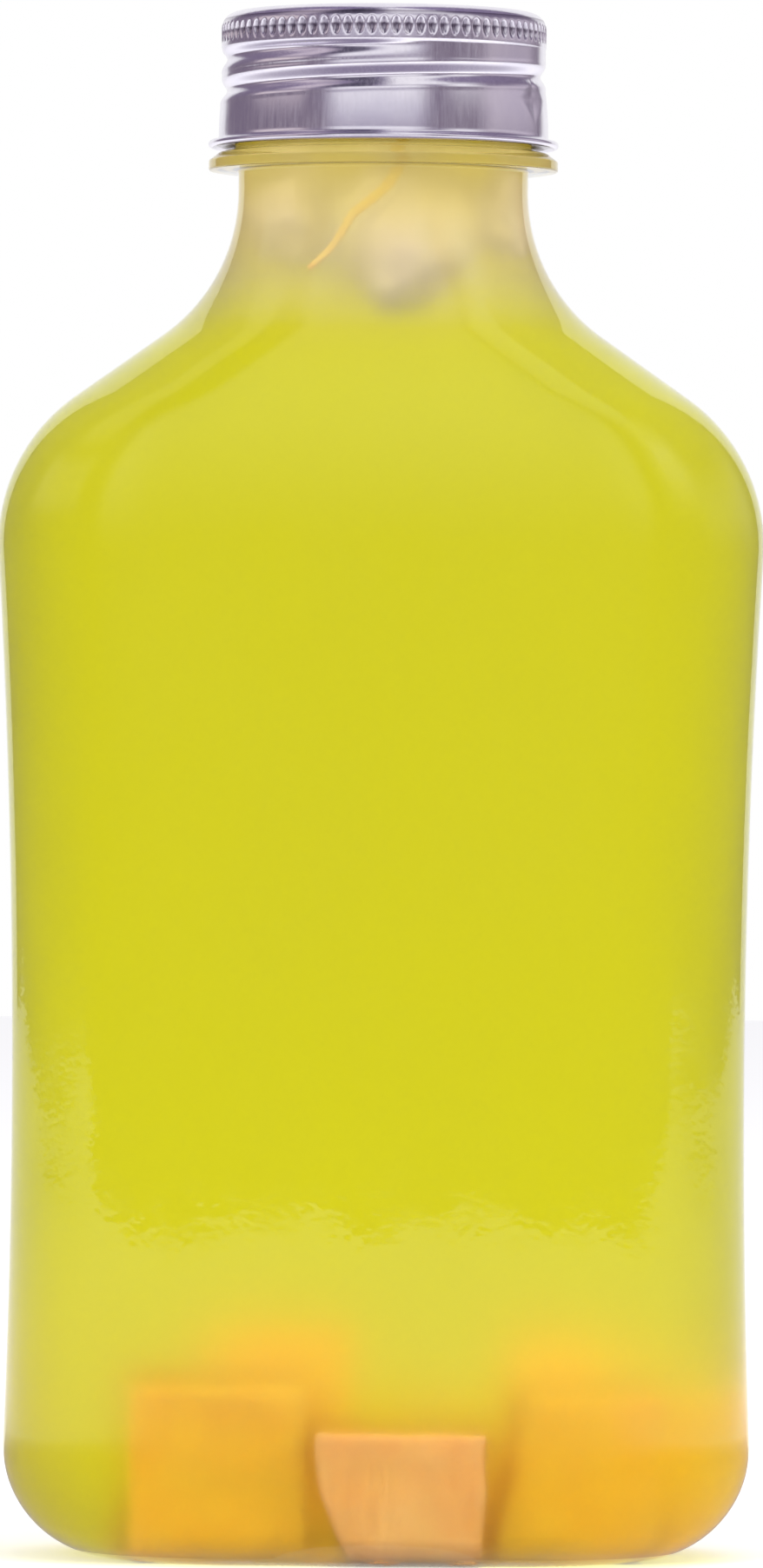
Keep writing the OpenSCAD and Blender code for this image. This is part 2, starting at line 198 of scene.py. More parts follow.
def foot_heights(floor):
    turn = [math.pi / 2 * i / 20 for i in range(21)]
    front = [floor + (foot_front_r - floor) * (1 - math.cos(t)) for t in turn[1:]]
    side = [floor + (foot_side_r - floor) * (1 - math.cos(t)) for t in turn]
    heights = sorted(front + side)
    return [z for i, z in enumerate(heights) if i == 0 or z - heights[i - 1] > 0.02]


def upper_heights():
    steps = 36
    turns = [mix(-waist_turn, shoulder_turn, i / steps) for i in range(1, steps + 1)]
    shoulder = [shoulder_z + shoulder_r * math.sin(t) for t in turns]
    fillet = [
        neck_z - neck_fillet_r * math.sin(shoulder_turn * (1 - i / steps)) for i in range(steps + 1)
    ]
    return spread(foot_side_r, arc_z, 60) + shoulder + spread(slope_top_z, fillet_z, 5)[:-1] + fillet


def base_rows(ring, z, inward):
    """Rows from the middle of the base out to its ring, with the hollow under the base."""
    shares = [0.08, 0.2, 0.32, 0.44, 0.52, 0.58, 0.64, base_ring_share, 0.82, 0.92]
    rows = []
    for s in shares:
        row = ring * s
        row[:, 2] = z + base_rise * float(ease((base_ring_share - s) / 0.3))
        rows.append(row)
    return rows[::-1] if inward else rows


def inner_rows(gap):
    """Rows of the inside from its floor to the neck."""
    floor = base_wall + gap
    heights = foot_heights(floor) + upper_heights()
    return [section(in_w(z, gap), in_d(z, gap), z, roundness(z)) for z in heights]


# ---------------------------------------------------------------- meshes
def make_mesh(name, verts, faces, material, body, smooth=True):
    mesh = bpy.data.meshes.new(name)
    mesh.from_pydata((np.asarray(verts) * MM).tolist(), [], faces)
    mesh.update()
    if smooth:
        mesh.polygons.foreach_set("use_smooth", [True] * len(mesh.polygons))
    mesh.materials.append(material)
    obj = bpy.data.objects.new(name, mesh)
    bpy.context.scene.collection.objects.link(obj)
    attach(obj, body)
    return obj


def stacked(first, rows, last):
    """Vertices and faces of a closed skin over a stack of rows, with a point at each end."""
    n = len(rows[0])
    verts = np.concatenate([[first]] + list(rows) + [[last]])
    top = 1 + (len(rows) - 1) * n
    ring = np.arange(n)
    after = (ring + 1) % n
    faces = [[0, int(1 + j), int(1 + i)] for i, j in zip(ring, after)]
    for k in range(len(rows) - 1):
        low, high = 1 + k * n, 1 + (k + 1) * n
        faces += np.stack([low + ring, low + after, high + after, high + ring], 1).tolist()
    faces += [[int(top + i), int(top + j), top + n] for i, j in zip(ring, after)]
    return verts, faces


def rounded(points, radius, steps=4):
    """A profile with an arc in place of each inner corner; radius may be one number or one for each."""
    out = [points[0]]
    for i in range(1, len(points) - 1):
        r = radius[i] if isinstance(radius, (list, tuple)) else radius
        p = np.array(points[i], float)
        a, b = np.array(points[i - 1], float) - p, np.array(points[i + 1], float) - p
        la, lb = np.linalg.norm(a), np.linalg.norm(b)
        a, b = a / la, b / lb
        half = math.acos(float(np.clip(a @ b, -1, 1))) / 2
        cut = min(r / math.tan(half), la * 0.45, lb * 0.45)
        for k in range(steps + 1):
            t = k / steps
            q = p + a * cut * (1 - t) ** 2 + b * cut * t**2
            out.append(tuple(q))
    out.append(points[-1])
    return out


# ---------------------------------------------------------------- materials
def new_material(name):
    """An empty node material, whose own glow, if it has any, isn't used as a lamp."""
    material = bpy.data.materials.new(name)
    material.cycles.emission_sampling = "NONE"
    material.use_nodes = True
    tree = material.node_tree
    tree.nodes.clear()
    return material, tree


def node(tree, kind, inputs=None, **settings):
    made = tree.nodes.new(kind)
    for key, value in settings.items():
        setattr(made, key, value)
    for key, value in (inputs or {}).items():
        if isinstance(value, bpy.types.NodeSocket):
            tree.links.new(value, made.inputs[key])
        else:
            made.inputs[key].default_value = value
    return made


def place_of(tree, scale=(1, 1, 1)):
    """The surface point in millimetres, stretched by scale."""
    where = node(tree, "ShaderNodeTexCoord").outputs["Object"]
    return node(
        tree, "ShaderNodeMapping", {"Vector": where, "Scale": tuple(s / MM for s in scale)}
    ).outputs["Vector"]


def noise_of(tree, place, scale, detail=3.0, roughness=0.5):
    """Noise whose coarsest bumps are 1/scale mm wide."""
    return node(
        tree,
        "ShaderNodeTexNoise",
        {"Vector": place, "Scale": scale, "Detail": detail, "Roughness": roughness},
    ).outputs["Fac"]


def ramp(tree, fac, stops):
    """A colour ramp from (position, colour) pairs."""
    made = node(tree, "ShaderNodeValToRGB", {"Fac": fac})
    elements = made.color_ramp.elements
    while len(elements) < len(stops):
        elements.new(0.5)
    for element, (position, colour) in zip(elements, stops):
        element.position = position
        element.color = (*colour, 1)
    return made.outputs["Color"]


def ranged(tree, value, low, high, out_low, out_high, smooth=False):
    return node(
        tree,
        "ShaderNodeMapRange",
        {"Value": value, "From Min": low, "From Max": high, "To Min": out_low, "To Max": out_high},
        interpolation_type="SMOOTHSTEP" if smooth else "LINEAR",
    ).outputs["Result"]


def maths(tree, operation, *values):
    return node(tree, "ShaderNodeMath", dict(enumerate(values)), operation=operation).outputs[0]


def mixed(tree, share, first, second, blend="MIX"):
    """Two colours mixed by share; each is a socket or a plain colour."""
    colours = [c if isinstance(c, bpy.types.NodeSocket) else (*c, 1) for c in (first, second)]
    return node(
        tree,
        "ShaderNodeMix",
        {0: share, 6: colours[0], 7: colours[1]},
        data_type="RGBA",
        blend_type=blend,
    ).outputs[2]


def principled(tree, inputs, **settings):
    return node(tree, "ShaderNodeBsdfPrincipled", inputs, **settings).outputs["BSDF"]


def object_place(tree):
    """The surface point in metres, and its height."""
    place = node(tree, "ShaderNodeTexCoord").outputs["Object"]
    return place, node(tree, "ShaderNodeSeparateXYZ", {"Vector": place}).outputs["Z"]


def turn_round(tree, place):
    """The turn to the right of straight ahead, seen from the bottle, in radians; and the height."""
    parts = node(tree, "ShaderNodeSeparateXYZ", {"Vector": place}).outputs
    forward = maths(tree, "MULTIPLY", parts["Y"], -1.0)
    return maths(tree, "ARCTAN2", parts["X"], forward), parts["Z"]


def bump(tree, height, distance_mm, strength=1.0, under=None):
    inputs = {"Height": height, "Distance": distance_mm * MM, "Strength": strength}
    if under is not None:
        inputs["Normal"] = under
    return node(tree, "ShaderNodeBump", inputs).outputs["Normal"]


def finish_material(tree, surface, volume=None):
    out = node(tree, "ShaderNodeOutputMaterial", {"Surface": surface})
    if volume is not None:
        tree.links.new(volume, out.inputs["Volume"])


def lit_through(tree, glass, shade):
    """Glass that lets the lamps' light through, tinted by shade."""
    clear = node(tree, "ShaderNodeBsdfTransparent", {"Color": (*shade, 1)}).outputs["BSDF"]
    shadow = node(tree, "ShaderNodeLightPath").outputs["Is Shadow Ray"]
    return node(tree, "ShaderNodeMixShader", {0: shadow, 1: glass, 2: clear}).outputs["Shader"]


def plastic_material(name, gloss, worn):
    """Clear blown plastic with the slight ripple of its wall; the outside is also worn by handling."""
    material, tree = new_material(name)
    normal = bump(tree, noise_of(tree, place_of(tree, (1, 1, 0.6)), 0.09, 1.0), 0.12, 0.35)
    roughness = 0.0
    if worn:
        fine = noise_of(tree, place_of(tree), 0.9, 1.0)
        normal = bump(tree, fine, 0.006, 0.5, normal)
        roughness = ranged(tree, noise_of(tree, place_of(tree), 0.35, 3.0), 0.35, 0.8, 0.015, 0.06)
    glass = principled(
        tree,
        {
            "Base Color": (1.0, 0.99, 0.99, 1),
            "Roughness": roughness,
            "IOR": 1.57,
            "Specular Tint": (gloss, gloss, gloss, 1),
            "Transmission Weight": 1.0,
            "Normal": normal,
        },
    )
    finish_material(tree, lit_through(tree, glass, (0.98, 0.98, 0.98)))
    return material


def drink_material():
    """Cloudy drink: what lies in it blurs with depth, and the depth gives it its colour. Towards the top it
    also glows, painted light that brightens the neck and ring.
    """
    material, tree = new_material("drink_liquid")
    swirl = noise_of(tree, place_of(tree, (1, 1, 0.5)), 0.05, 2.0, 0.6)
    _, height = object_place(tree)
    haze = ranged(tree, swirl, 0.3, 0.7, 0.5, 0.62)
    still = ranged(tree, height, (fill_z - 0.7) * MM, (fill_z - 0.4) * MM, 1, 0.06)
    roughness = maths(tree, "MULTIPLY", haze, still)
    pulpy = ranged(tree, height, (ring_z - 28) * MM, (ring_z + 1) * MM, 0, 1, True)
    colour = ramp(tree, pulpy, [(0.0, (1.0, 1.0, 0.93)), (1.0, (0.98, 0.84, 0.34))])
    fruity = ranged(tree, height, 10 * MM, 50 * MM, 1, 0, True)
    colour = mixed(tree, fruity, colour, (1.0, 0.94, 0.9))
    # Painted glow: the drink lights itself more and more towards the top of the neck, faintly violet halfway
    # up
    painted_top_glow = ramp(
        tree, pulpy, [(0.1, (0.0, 0.0, 0.0)), (0.5, (0.02, 0.0, 0.045)), (1.0, (0.15, 0.11, 0.015))]
    )
    liquid = principled(
        tree,
        {
            "Emission Color": painted_top_glow,
            "Emission Strength": 1.0,
            "Base Color": colour,
            "Roughness": roughness,
            "IOR": 1.34,
            "Specular Tint": (0.0, 0.0, 0.0, 1),
            "Transmission Weight": ranged(tree, pulpy, 0.2, 1, 1.0, 0.55),
        },
    )
    depth = node(
        tree, "ShaderNodeVolumeAbsorption", {"Color": (0.943, 0.937, 0.0, 1), "Density": 130.0}
    ).outputs["Volume"]
    finish_material(tree, lit_through(tree, liquid, (1.0, 0.99, 0.85)), depth)
    return material


def aluminium_material():
    """Drawn aluminium: fine upright scratches, faint handling marks, a lavender cast, and painted shade in
    the hollows of the knurl's flutes.
    """
    material, tree = new_material("cap_aluminium")
    draw = noise_of(tree, place_of(tree, (1, 1, 0.07)), 3.2, 3.0, 0.6)
    cloud = noise_of(tree, place_of(tree), 0.16, 3.0)
    nicks = noise_of(tree, place_of(tree, (1, 1, 0.8)), 1.1, 5.0, 0.7)
    normal = bump(tree, nicks, 0.015, 0.3, bump(tree, draw, 0.008, 0.4))
    tint = ramp(tree, cloud, [(0.3, (0.75, 0.72, 0.82)), (0.7, (0.85, 0.82, 0.89))])
    dulled = ranged(tree, draw, 0.3, 0.7, 0.15, 0.26)
    place, height = object_place(tree)
    flat = node(tree, "ShaderNodeVectorMath", {0: place, 1: (1, 1, 0)}, operation="MULTIPLY").outputs[0]
    reach = node(tree, "ShaderNodeVectorMath", {0: flat}, operation="LENGTH").outputs["Value"]
    # Painted shade: the hollows of the knurl's flutes are darkened in the colour, between the band and the
    # top
    painted_valley_shade = ranged(tree, reach, (cap_r - flute_depth) * MM, (cap_r - 0.06) * MM, 1, 0)
    over_band = maths(tree, "GREATER_THAN", height, (band_z + 0.2) * MM)
    below_top = maths(tree, "LESS_THAN", height, (cap_top - 0.9) * MM)
    painted_valley_shade = maths(tree, "MULTIPLY", maths(tree, "MULTIPLY", painted_valley_shade, over_band), below_top)
    tint = mixed(tree, painted_valley_shade, tint, (0.20, 0.17, 0.23))
    metal = principled(
        tree,
        {"Base Color": tint, "Metallic": 1.0, "Roughness": dulled, "Normal": normal},
    )
    finish_material(tree, metal)
    return material


def liner_material():
    """Pressed foam: off-white with small closed cells."""
    material, tree = new_material("liner_foam")
    cells = node(
        tree, "ShaderNodeTexVoronoi", {"Vector": place_of(tree), "Scale": 3.0}
    ).outputs["Distance"]
    shade = ramp(tree, cells, [(0.0, (0.78, 0.78, 0.76)), (0.5, (0.88, 0.88, 0.85))])
    foam = principled(
        tree,
        {"Base Color": shade, "Roughness": 0.75, "Normal": bump(tree, cells, 0.05, 0.4)},
    )
    finish_material(tree, foam)
    return material


def fruit_material(name, flesh, pale, glow):
    """Soft, see-through fruit flesh with blotches and upright fibres.

    Glow stands for the light that the cloudy drink scatters into it.
    """
    material, tree = new_material(name)
    blotch = noise_of(tree, place_of(tree), 0.14, 3.0, 0.55)
    fibre = noise_of(tree, place_of(tree, (1, 1, 0.22)), 0.9, 5.0, 0.6)
    base = ramp(tree, blotch, [(0.25, flesh), (0.75, pale)])
    streaks = ramp(tree, fibre, [(0.3, (0.93, 0.90, 0.86)), (0.65, (1.0, 1.0, 1.0))])
    colour = mixed(tree, 1.0, base, streaks, "MULTIPLY")
    flesh_shader = principled(
        tree,
        {
            "Base Color": colour,
            "Roughness": ranged(tree, fibre, 0.2, 0.8, 0.4, 0.6),
            "Specular IOR Level": 0.1,
            "Emission Color": colour,
            "Emission Strength": glow,
            "Subsurface Weight": 0.5,
            "Subsurface Radius": (1.0, 0.6, 0.1),
            "Subsurface Scale": 0.006,
            "Normal": bump(tree, fibre, 0.12, 0.6),
        },
        subsurface_method="BURLEY",
    )
    finish_material(tree, flesh_shader)
    return material


def ice_material():
    """Cloudy ice: milky with clearer veins and a lumpy, melting skin. It also glows a little, painted light
    that keeps its shaded side light.
    """
    material, tree = new_material("ice_lump")
    cloud = noise_of(tree, place_of(tree), 0.17, 4.0, 0.6)
    veins = noise_of(tree, place_of(tree), 0.55, 4.0, 0.65)
    colour = ramp(tree, cloud, [(0.3, (0.60, 0.53, 0.72)), (0.65, (0.75, 0.68, 0.92))])
    milk = principled(
        tree,
        {
            "Base Color": colour,
            "Roughness": ranged(tree, veins, 0.3, 0.7, 0.35, 0.6),
            "Specular IOR Level": 0.1,
            # Painted glow: the ice lights itself, so that its shaded underside stays light
            "Emission Color": colour,
            "Emission Strength": 0.27,
            "Subsurface Weight": 0.3,
            "Subsurface Radius": (1.0, 0.9, 0.7),
            "Subsurface Scale": 0.003,
            "Normal": bump(tree, veins, 0.35, 0.5),
        },
        subsurface_method="BURLEY",
    )
    finish_material(tree, milk)
    return material


def strand_material():
    """Orange-yellow pulp fibre, its tone varying in small blotches."""
    material, tree = new_material("pulp")
    along = noise_of(tree, place_of(tree), 1.2, 4.0)
    colour = ramp(tree, along, [(0.3, (0.88, 0.55, 0.06)), (0.7, (0.98, 0.76, 0.14))])
    fibre = principled(
        tree,
        {"Base Color": colour, "Roughness": 0.5, "Normal": bump(tree, along, 0.1, 0.6)},
    )
    finish_material(tree, fibre)
    return material


plastic = plastic_material("clear_plastic", 0.75, True)
# Against the drink, the wall has no gloss
wet_plastic = plastic_material("clear_plastic_wet", 0.0, False)
liquid = drink_material()
aluminium = aluminium_material()
ice_look = ice_material()


# ---------------------------------------------------------------- bottle
def thread_z(a):
    return thread_top_z - pitch * (thread_end - a) / 360


def thread_height(a, z):
    """How far the mouth's thread stands out of the wall, at angles a and height z."""
    out = np.zeros_like(a)
    for turn in (0, 360):
        at = a + turn
        fade = ease((at - thread_start) / thread_fade) * ease((thread_end - at) / thread_fade)
        across = np.clip((1.0 - np.abs(z - thread_z(at))) / 0.55, 0, 1)
        out = np.maximum(out, fade * across)
    return (thread_r - root_r) * out


def column_angles():
    ring = circle(1.0, 0)
    return np.degrees(np.arctan2(ring[:, 1], ring[:, 0])) % 360


def build_bottle():
    rows = base_rows(section(half_w(0), half_d(0), 0, roundness(0)), 0, False)
    rows += [section(half_w(z), half_d(z), z, roundness(z)) for z in foot_heights(0) + upper_heights()]
    ring_profile = rounded(
        [
            (neck_r, neck_z + 0.3),
            (neck_r, ring_z),
            (ring_r, ring_z),
            (ring_r, ring_z + ring_edge),
            (neck_r + ring_shoulder, finish_z),
            (root_r, finish_z + 0.4),
            (root_r, finish_z + 1.2),
        ],
        [0, 0.35, 0.25, 0.3, 0.6, 0.5, 0],
    )
    rows += [circle(r, z) for r, z in ring_profile]
    angles = np.radians(column_angles())
    for z in np.arange(finish_z + 1.4, rim_z - 0.5, 0.22):
        r = root_r + thread_height(np.degrees(angles), z)
        rows.append(np.stack([r * np.cos(angles), r * np.sin(angles), np.full(COLUMNS, z)], 1))
    lip = 0.5
    for i in range(7):
        t = math.pi / 2 * i / 6
        rows.append(circle(root_r - lip + lip * math.cos(t), rim_z - lip + lip * math.sin(t)))
    for i in range(7):
        t = math.pi / 2 * (1 + i / 6)
        rows.append(circle(bore_r + lip + lip * math.cos(t), rim_z - lip + lip * math.sin(t)))
    rows += [circle(bore_r, z) for z in spread(rim_z - lip, neck_z, 5)[:-1]]
    inside = inner_rows(0)
    outer_faces = (len(rows) + 1) * COLUMNS
    rows += inside[::-1]
    rows += base_rows(inside[0], base_wall, True)
    verts, faces = stacked([0, 0, base_rise], rows, [0, 0, base_wall + base_rise])
    obj = make_mesh("bottle_shell", verts, faces, plastic, "bottle_body")
    obj.data.materials.append(wet_plastic)
    for face in obj.data.polygons[outer_faces:]:
        face.material_index = 1
    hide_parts("bottle")


# ---------------------------------------------------------------- cap
def groove_parts(a, z):
    """The rolled thread's depth, and the fine creases on its two lips, at angles a and height z."""
    deep, lips = np.zeros_like(a), np.zeros_like(a)
    for turn in (0, 360):
        at = a + turn
        middle = thread_top_z - pitch * (thread_end - at) / 360 - pitch / 2
        u = (z - middle) / groove_half
        fade = ease((at - groove_start) / groove_fade) * ease((groove_end - at) / groove_fade)
        fade = np.where((at < groove_start) | (at > groove_end), 0, fade)
        body = np.where(np.abs(u) < 1, np.cos(np.pi / 2 * np.clip(u, -1, 1)) ** 2, 0) * fade
        deep = np.maximum(deep, body)
        crease = np.exp(-(((np.abs(u) - 1.14) / 0.13) ** 2)) * fade
        lips = np.maximum(lips, crease)
    return deep, lips


def cap_wall_r(a, z):
    deep, lips = groove_parts(a, z)
    across = np.abs(a - dent_angle) / dent_half_turn
    up = abs(z - (skirt_z + 4)) / dent_half_h
    dent = ease(np.clip(1 - across - up, 0, 1) * 1.15)
    below_band = float(ease((band_z - z) / 0.6))
    base = mix(skirt_r, band_r, min(1, (z - skirt_z) / (band_z - skirt_z - 5)) ** 2)
    return base - (groove_depth * deep - 0.05 * lips) * below_band - dent_depth * dent


def fluted(a, r, z):
    """Radius r with the knurl's lens-shaped flutes cut into it."""
    flute_w = 0.76 * math.pi * 2 * cap_r / flutes
    lens_r = ((flute_h / 2) ** 2 + (flute_w / 2) ** 2) / flute_w
    middle_r = cap_r + flute_w / 2 - flute_depth
    v = z - knurl_z
    if abs(v) >= flute_h / 2:
        return np.full_like(a, r)
    cutter = math.sqrt(lens_r**2 - v**2) - (lens_r - flute_w / 2)
    step = 360 / flutes
    off = np.radians((a + step / 2) % step - step / 2)
    sideways = middle_r * np.sin(off)
    cut = middle_r * np.cos(off) - np.sqrt(np.clip(cutter**2 - sideways**2, 0, None))
    return np.where(np.abs(sideways) < cutter, np.minimum(r, cut), r)


def build_cap():
    a = 360 * np.arange(CAP_COLUMNS) / CAP_COLUMNS
    c, s = np.cos(np.radians(a)), np.sin(np.radians(a))

    def row(r, z):
        return np.stack([r * c, r * s, np.full(CAP_COLUMNS, z)], 1)

    edge_z = cap_top - cap_edge_r
    flat_r = cap_r - cap_edge_r
    rows = [row(r, cap_top) for r in (3, 9, 14, 16.5, flat_r)]
    rows += [
        row(flat_r + cap_edge_r * math.sin(t), edge_z + cap_edge_r * math.cos(t))
        for t in np.radians([8, 18, 28, 38, 47])
    ]
    for z in np.linspace(edge_z + 1.24, band_z + 0.24, 20):
        r = cap_r if z < edge_z else flat_r + math.sqrt(cap_edge_r**2 - (z - edge_z) ** 2)
        rows.append(row(fluted(a, r, z), z))
    rows += [row(cap_r - 0.02, band_z + 0.1)]
    rows += [row(cap_wall_r(a, z), z) for z in np.linspace(band_z - 0.05, skirt_z, 52)]
    curl = [
        (curl_c_r + curl_r * math.cos(t), curl_z + curl_r * math.sin(t))
        for t in np.radians(np.linspace(100, -140, 15))
    ]
    flare = rounded([(skirt_r, skirt_z), (skirt_r + 0.1, skirt_z - 0.5), curl[0]], 0.5, 3)[1:-1]
    rows += [row(r, z) for r, z in flare + curl]
    rows += [row(skirt_r - sheet, curl_z - curl_r * 0.6)]
    rows += [row(cap_wall_r(a, z) - sheet, z) for z in np.linspace(skirt_z, band_z - 0.3, 14)]
    inner_edge = [(knurl_in_r, band_z), (knurl_in_r, cap_under - 1.1), (knurl_in_r - 0.7, cap_under)]
    rows += [row(r, z) for r, z in inner_edge] + [row(r, cap_under) for r in (14, 6)]
    verts, faces = stacked([0, 0, cap_top], rows, [0, 0, cap_under])
    faces = [face[::-1] for face in faces]
    obj = make_mesh("cap_shell", verts, faces, aluminium, "cap_body")
    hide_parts("cap")


# ---------------------------------------------------------------- contents
def build_drink():
    rows = inner_rows(-wetting)
    floor = base_wall - wetting
    top_r = bore_r + wetting
    rows += [circle(top_r, z) for z in spread(neck_z, fill_z, 3)]
    climb, reach, steps = 0.5, 1.6, 6  # how the liquid climbs at the wall

    def surface_z(inward):
        return fill_z + climb * (math.exp(-inward / climb) - 1)

    for i in range(1, steps + 1):
        inward = reach * i / steps
        rows.append(circle(top_r - inward, surface_z(inward)))
    level = surface_z(reach)
    rows += [circle(top_r * s, level) for s in (0.7, 0.4, 0.15)]
    rows = base_rows(rows[0].copy(), floor, False) + rows
    verts, faces = stacked([0, 0, floor + base_rise], rows, [0, 0, level])
    obj = make_mesh("drink_fill", verts, faces, liquid, "bottle_body")
    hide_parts("drink")


def rumple(points, size, amount, seed):
    """Moves each point by smooth noise, size mm across, by up to about amount mm.

    The seed of noise_vector isn't set, so the result differs from run to run.
    """
    shift = Vector((seed, 2 * seed, -seed))
    return np.array([p + amount * np.array(noise.noise_vector(Vector(p) / size + shift)) for p in points])


def rounded_block(size, radius, steps=26):
    """A block with rounded edges, centred on x and y and standing on z = 0."""
    verts, faces = {}, []
    half = np.array(size) / 2
    inner = half - radius

    def point(axis, sign, i, j):
        p = np.zeros(3)
        p[axis] = sign
        p[(axis + 1) % 3], p[(axis + 2) % 3] = 2 * i / steps - 1, 2 * j / steps - 1
        key = tuple(np.round(p, 6))
        if key not in verts:
            eased = np.sign(p) * (1 - (1 - np.abs(p)) ** 1.25)
            at = eased * half
            core = np.clip(at, -inner, inner)
            out = at - core
            length = np.linalg.norm(out)
            verts[key] = (len(verts), core + out / max(length, 1e-9) * radius if length > 0 else at)
        return verts[key][0]

    for axis in range(3):
        for sign in (-1, 1):
            for i in range(steps):
                for j in range(steps):
                    quad = [point(axis, sign, i, j), point(axis, sign, i + 1, j),
                            point(axis, sign, i + 1, j + 1), point(axis, sign, i, j + 1)]
                    faces.append(quad if sign > 0 else quad[::-1])
    points = np.array([v for _, v in sorted(verts.values(), key=lambda item: item[0])])
    points[:, 2] += half[2]
    return points, faces


def settling(points):
    """How far the base lies below the top of its hollow, under each point."""
    share = np.maximum(np.abs(points[:, 0]) / half_w(0), np.abs(points[:, 1]) / half_d(0))
    return base_rise * (1 - ease((base_ring_share - share) / 0.3))


def build_fruit(name, size, at, turn, left, right, back_drop, nick, material, seed):
    """A cut cube whose sides lean out by left and right at its top, and whose back drops away.

    Nick is how far the lower left edge is cut in.
    """
    points, faces = rounded_block(size, 0.8)
    up = points[:, 2] / size[2]
    across = points[:, 0] / (size[0] / 2)
    behind = ease(points[:, 1] / size[1] + 0.5)
    points[:, 0] += np.where(across < 0, -left, right) * np.abs(across) * up
    points[:, 2] -= back_drop * behind * up
    points[:, 0] += nick * np.clip(1 - up / 0.55, 0, 1) ** 1.5 * np.clip(-across, 0, 1)
    chamfer = 1.2 * np.clip(1 - points[:, 2] / 1.6, 0, 1) * np.clip(-2 * points[:, 1] / size[1], 0, 1)
    points[:, 1] += chamfer
    points = rumple(points, 5.0, 0.35, seed)
    points = rumple(points, 1.3, 0.07, seed + 3)
    c, s = math.cos(math.radians(turn)), math.sin(math.radians(turn))
    points = points @ np.array([[c, s, 0], [-s, c, 0], [0, 0, 1]]) + np.array(at)
    points[:, 2] -= settling(points) * np.clip(1 - (points[:, 2] - floor_z) / 5, 0, 1)
    obj = make_mesh(name + "_cube", points, faces, material, "bottle_body")
    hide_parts(name)


def build_ice(name, size, at, wave, forward, seed):
    across, up = 72, 44
    lon = 2 * np.pi * np.arange(across) / across
    turn = math.radians(wave)

    def ring(lat):
        k = 0.9 + 0.06 * np.sin(3 * lon + turn) * math.cos(lat) + 0.04 * np.sin(2 * lon - 3 * lat + 2 * turn)
        return np.array(at) + np.stack(
            [
                size[0] * k * math.cos(lat) * np.cos(lon),
                size[1] * k * math.cos(lat) * np.sin(lon),
                size[2] * k * math.sin(lat),
            ],
            1,
        )

    rows = [ring(-math.pi / 2 + math.pi * j / (up + 1)) for j in range(1, up + 1)]
    low, high = ring(-math.pi / 2)[0], ring(math.pi / 2)[0]
    verts, faces = stacked(low, rows, high)
    verts = rumple(rumple(verts, 4.5, 0.9, seed), 1.6, 0.28, seed + 5)
    ahead = np.minimum(verts[:, 1] - at[1], 0)
    verts[:, 1] += ahead * forward
    obj = make_mesh(name + "_lump", verts, faces, ice_look, "bottle_body")
    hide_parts(name)


def build_strand():
    """The pulp strand: a ragged ribbon along the part's route, a little nearer the front wall."""
    route = np.array([
        [2.2, -14.6, 2.4], [2, -14.7, 0.2], [0.6, -14.8, -2.4], [-1.6, -14.9, -4.4],
        [-3.6, -14.9, -6], [-4.6, -14.9, -8], [-6.2, -15, -10.4], [-8.6, -15.1, -12.6],
    ])
    steps, around = 84, 12
    t = np.linspace(0, len(route) - 1, steps)
    path = np.stack([np.interp(t, np.arange(len(route)), route[:, k]) for k in range(3)], 1)
    kernel = np.ones(9) / 9
    for k in range(3):
        padded = np.pad(path[:, k], 4, mode="reflect", reflect_type="odd")
        path[:, k] = np.convolve(padded, kernel, "valid")
    path[:, 2] += ring_z
    rows = []
    for i, p in enumerate(path):
        ahead = path[min(i + 1, steps - 1)] - path[max(i - 1, 0)]
        side = np.array([ahead[2], 0, -ahead[0]]) / math.hypot(ahead[2], ahead[0])
        ragged = 1 + 0.35 * noise.noise(Vector((i * 0.35, 4.0, 0)))
        r = 0.6 * ragged * (1 - 0.5 * i / steps)
        turn = 2 * np.pi * np.arange(around) / around
        rows.append(p + r * (np.outer(np.cos(turn), side) * 1.2 + np.outer(np.sin(turn), [0, 0.4, 0])))
    verts, faces = stacked(path[0] + [0, 0, 0.2], rows, path[-1] - [0, 0, 0.2])
    obj = make_mesh("pulp_strand_thread", verts, faces, strand_material(), "bottle_body")
    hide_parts("pulp_strand")


build_bottle()
build_drink()
build_cap()

front_y = -body_d / 2 + body_wall + 0.45
back_y = -front_y
amber = fruit_material("fruit_amber", (0.84, 0.43, 0.04), (0.88, 0.53, 0.06), 0.24)
peach = fruit_material("fruit_peach", (0.88, 0.42, 0.13), (0.92, 0.53, 0.19), 0.1)
haze = fruit_material("fruit_haze", (1.0, 0.54, 0.04), (1.0, 0.68, 0.05), 0.58)
FRUIT = [
    ("fruit_left", [21, 15.5, 19.4], [-18.6, front_y + 12.2, floor_z], 0, 0.2, -0.2, -1.5, 0, amber),
    ("fruit_middle", [19.4, 15, 14.2], [3.2, front_y + 7.9, floor_z], 0, 0.9, 0.3, -0.8, 3.4, peach),
    ("fruit_right", [17.6, 15, 18.4], [22.8, front_y + 13.6, floor_z], 6, -3.4, 1.6, -1, -1.2, amber),
    ("fruit_back_left", [18, 16.5, 26], [-13, back_y - 9.6, floor_z], 6, -1.5, 0.5, 1, 0, haze),
    ("fruit_back_middle", [15, 15, 15], [6.5, back_y - 8.9, floor_z], -5, 0, 0.4, 0.5, 0, haze),
    ("fruit_back_right", [13.4, 13.5, 23], [22.6, back_y - 12.4, floor_z], -4, 0, -0.8, -1.5, 0, haze),
    ("fruit_far_right", [6.4, 9.6, 17], [33.6, back_y - 14.4, floor_z + 1.2], -2, 0, 1.6, 0.5, 0, haze),
]
for seed, (name, size, at, turn, left, right, back_drop, nick, look) in enumerate(FRUIT):
    build_fruit(name, size, at, turn, left, right, back_drop, nick, look, seed * 7.3)

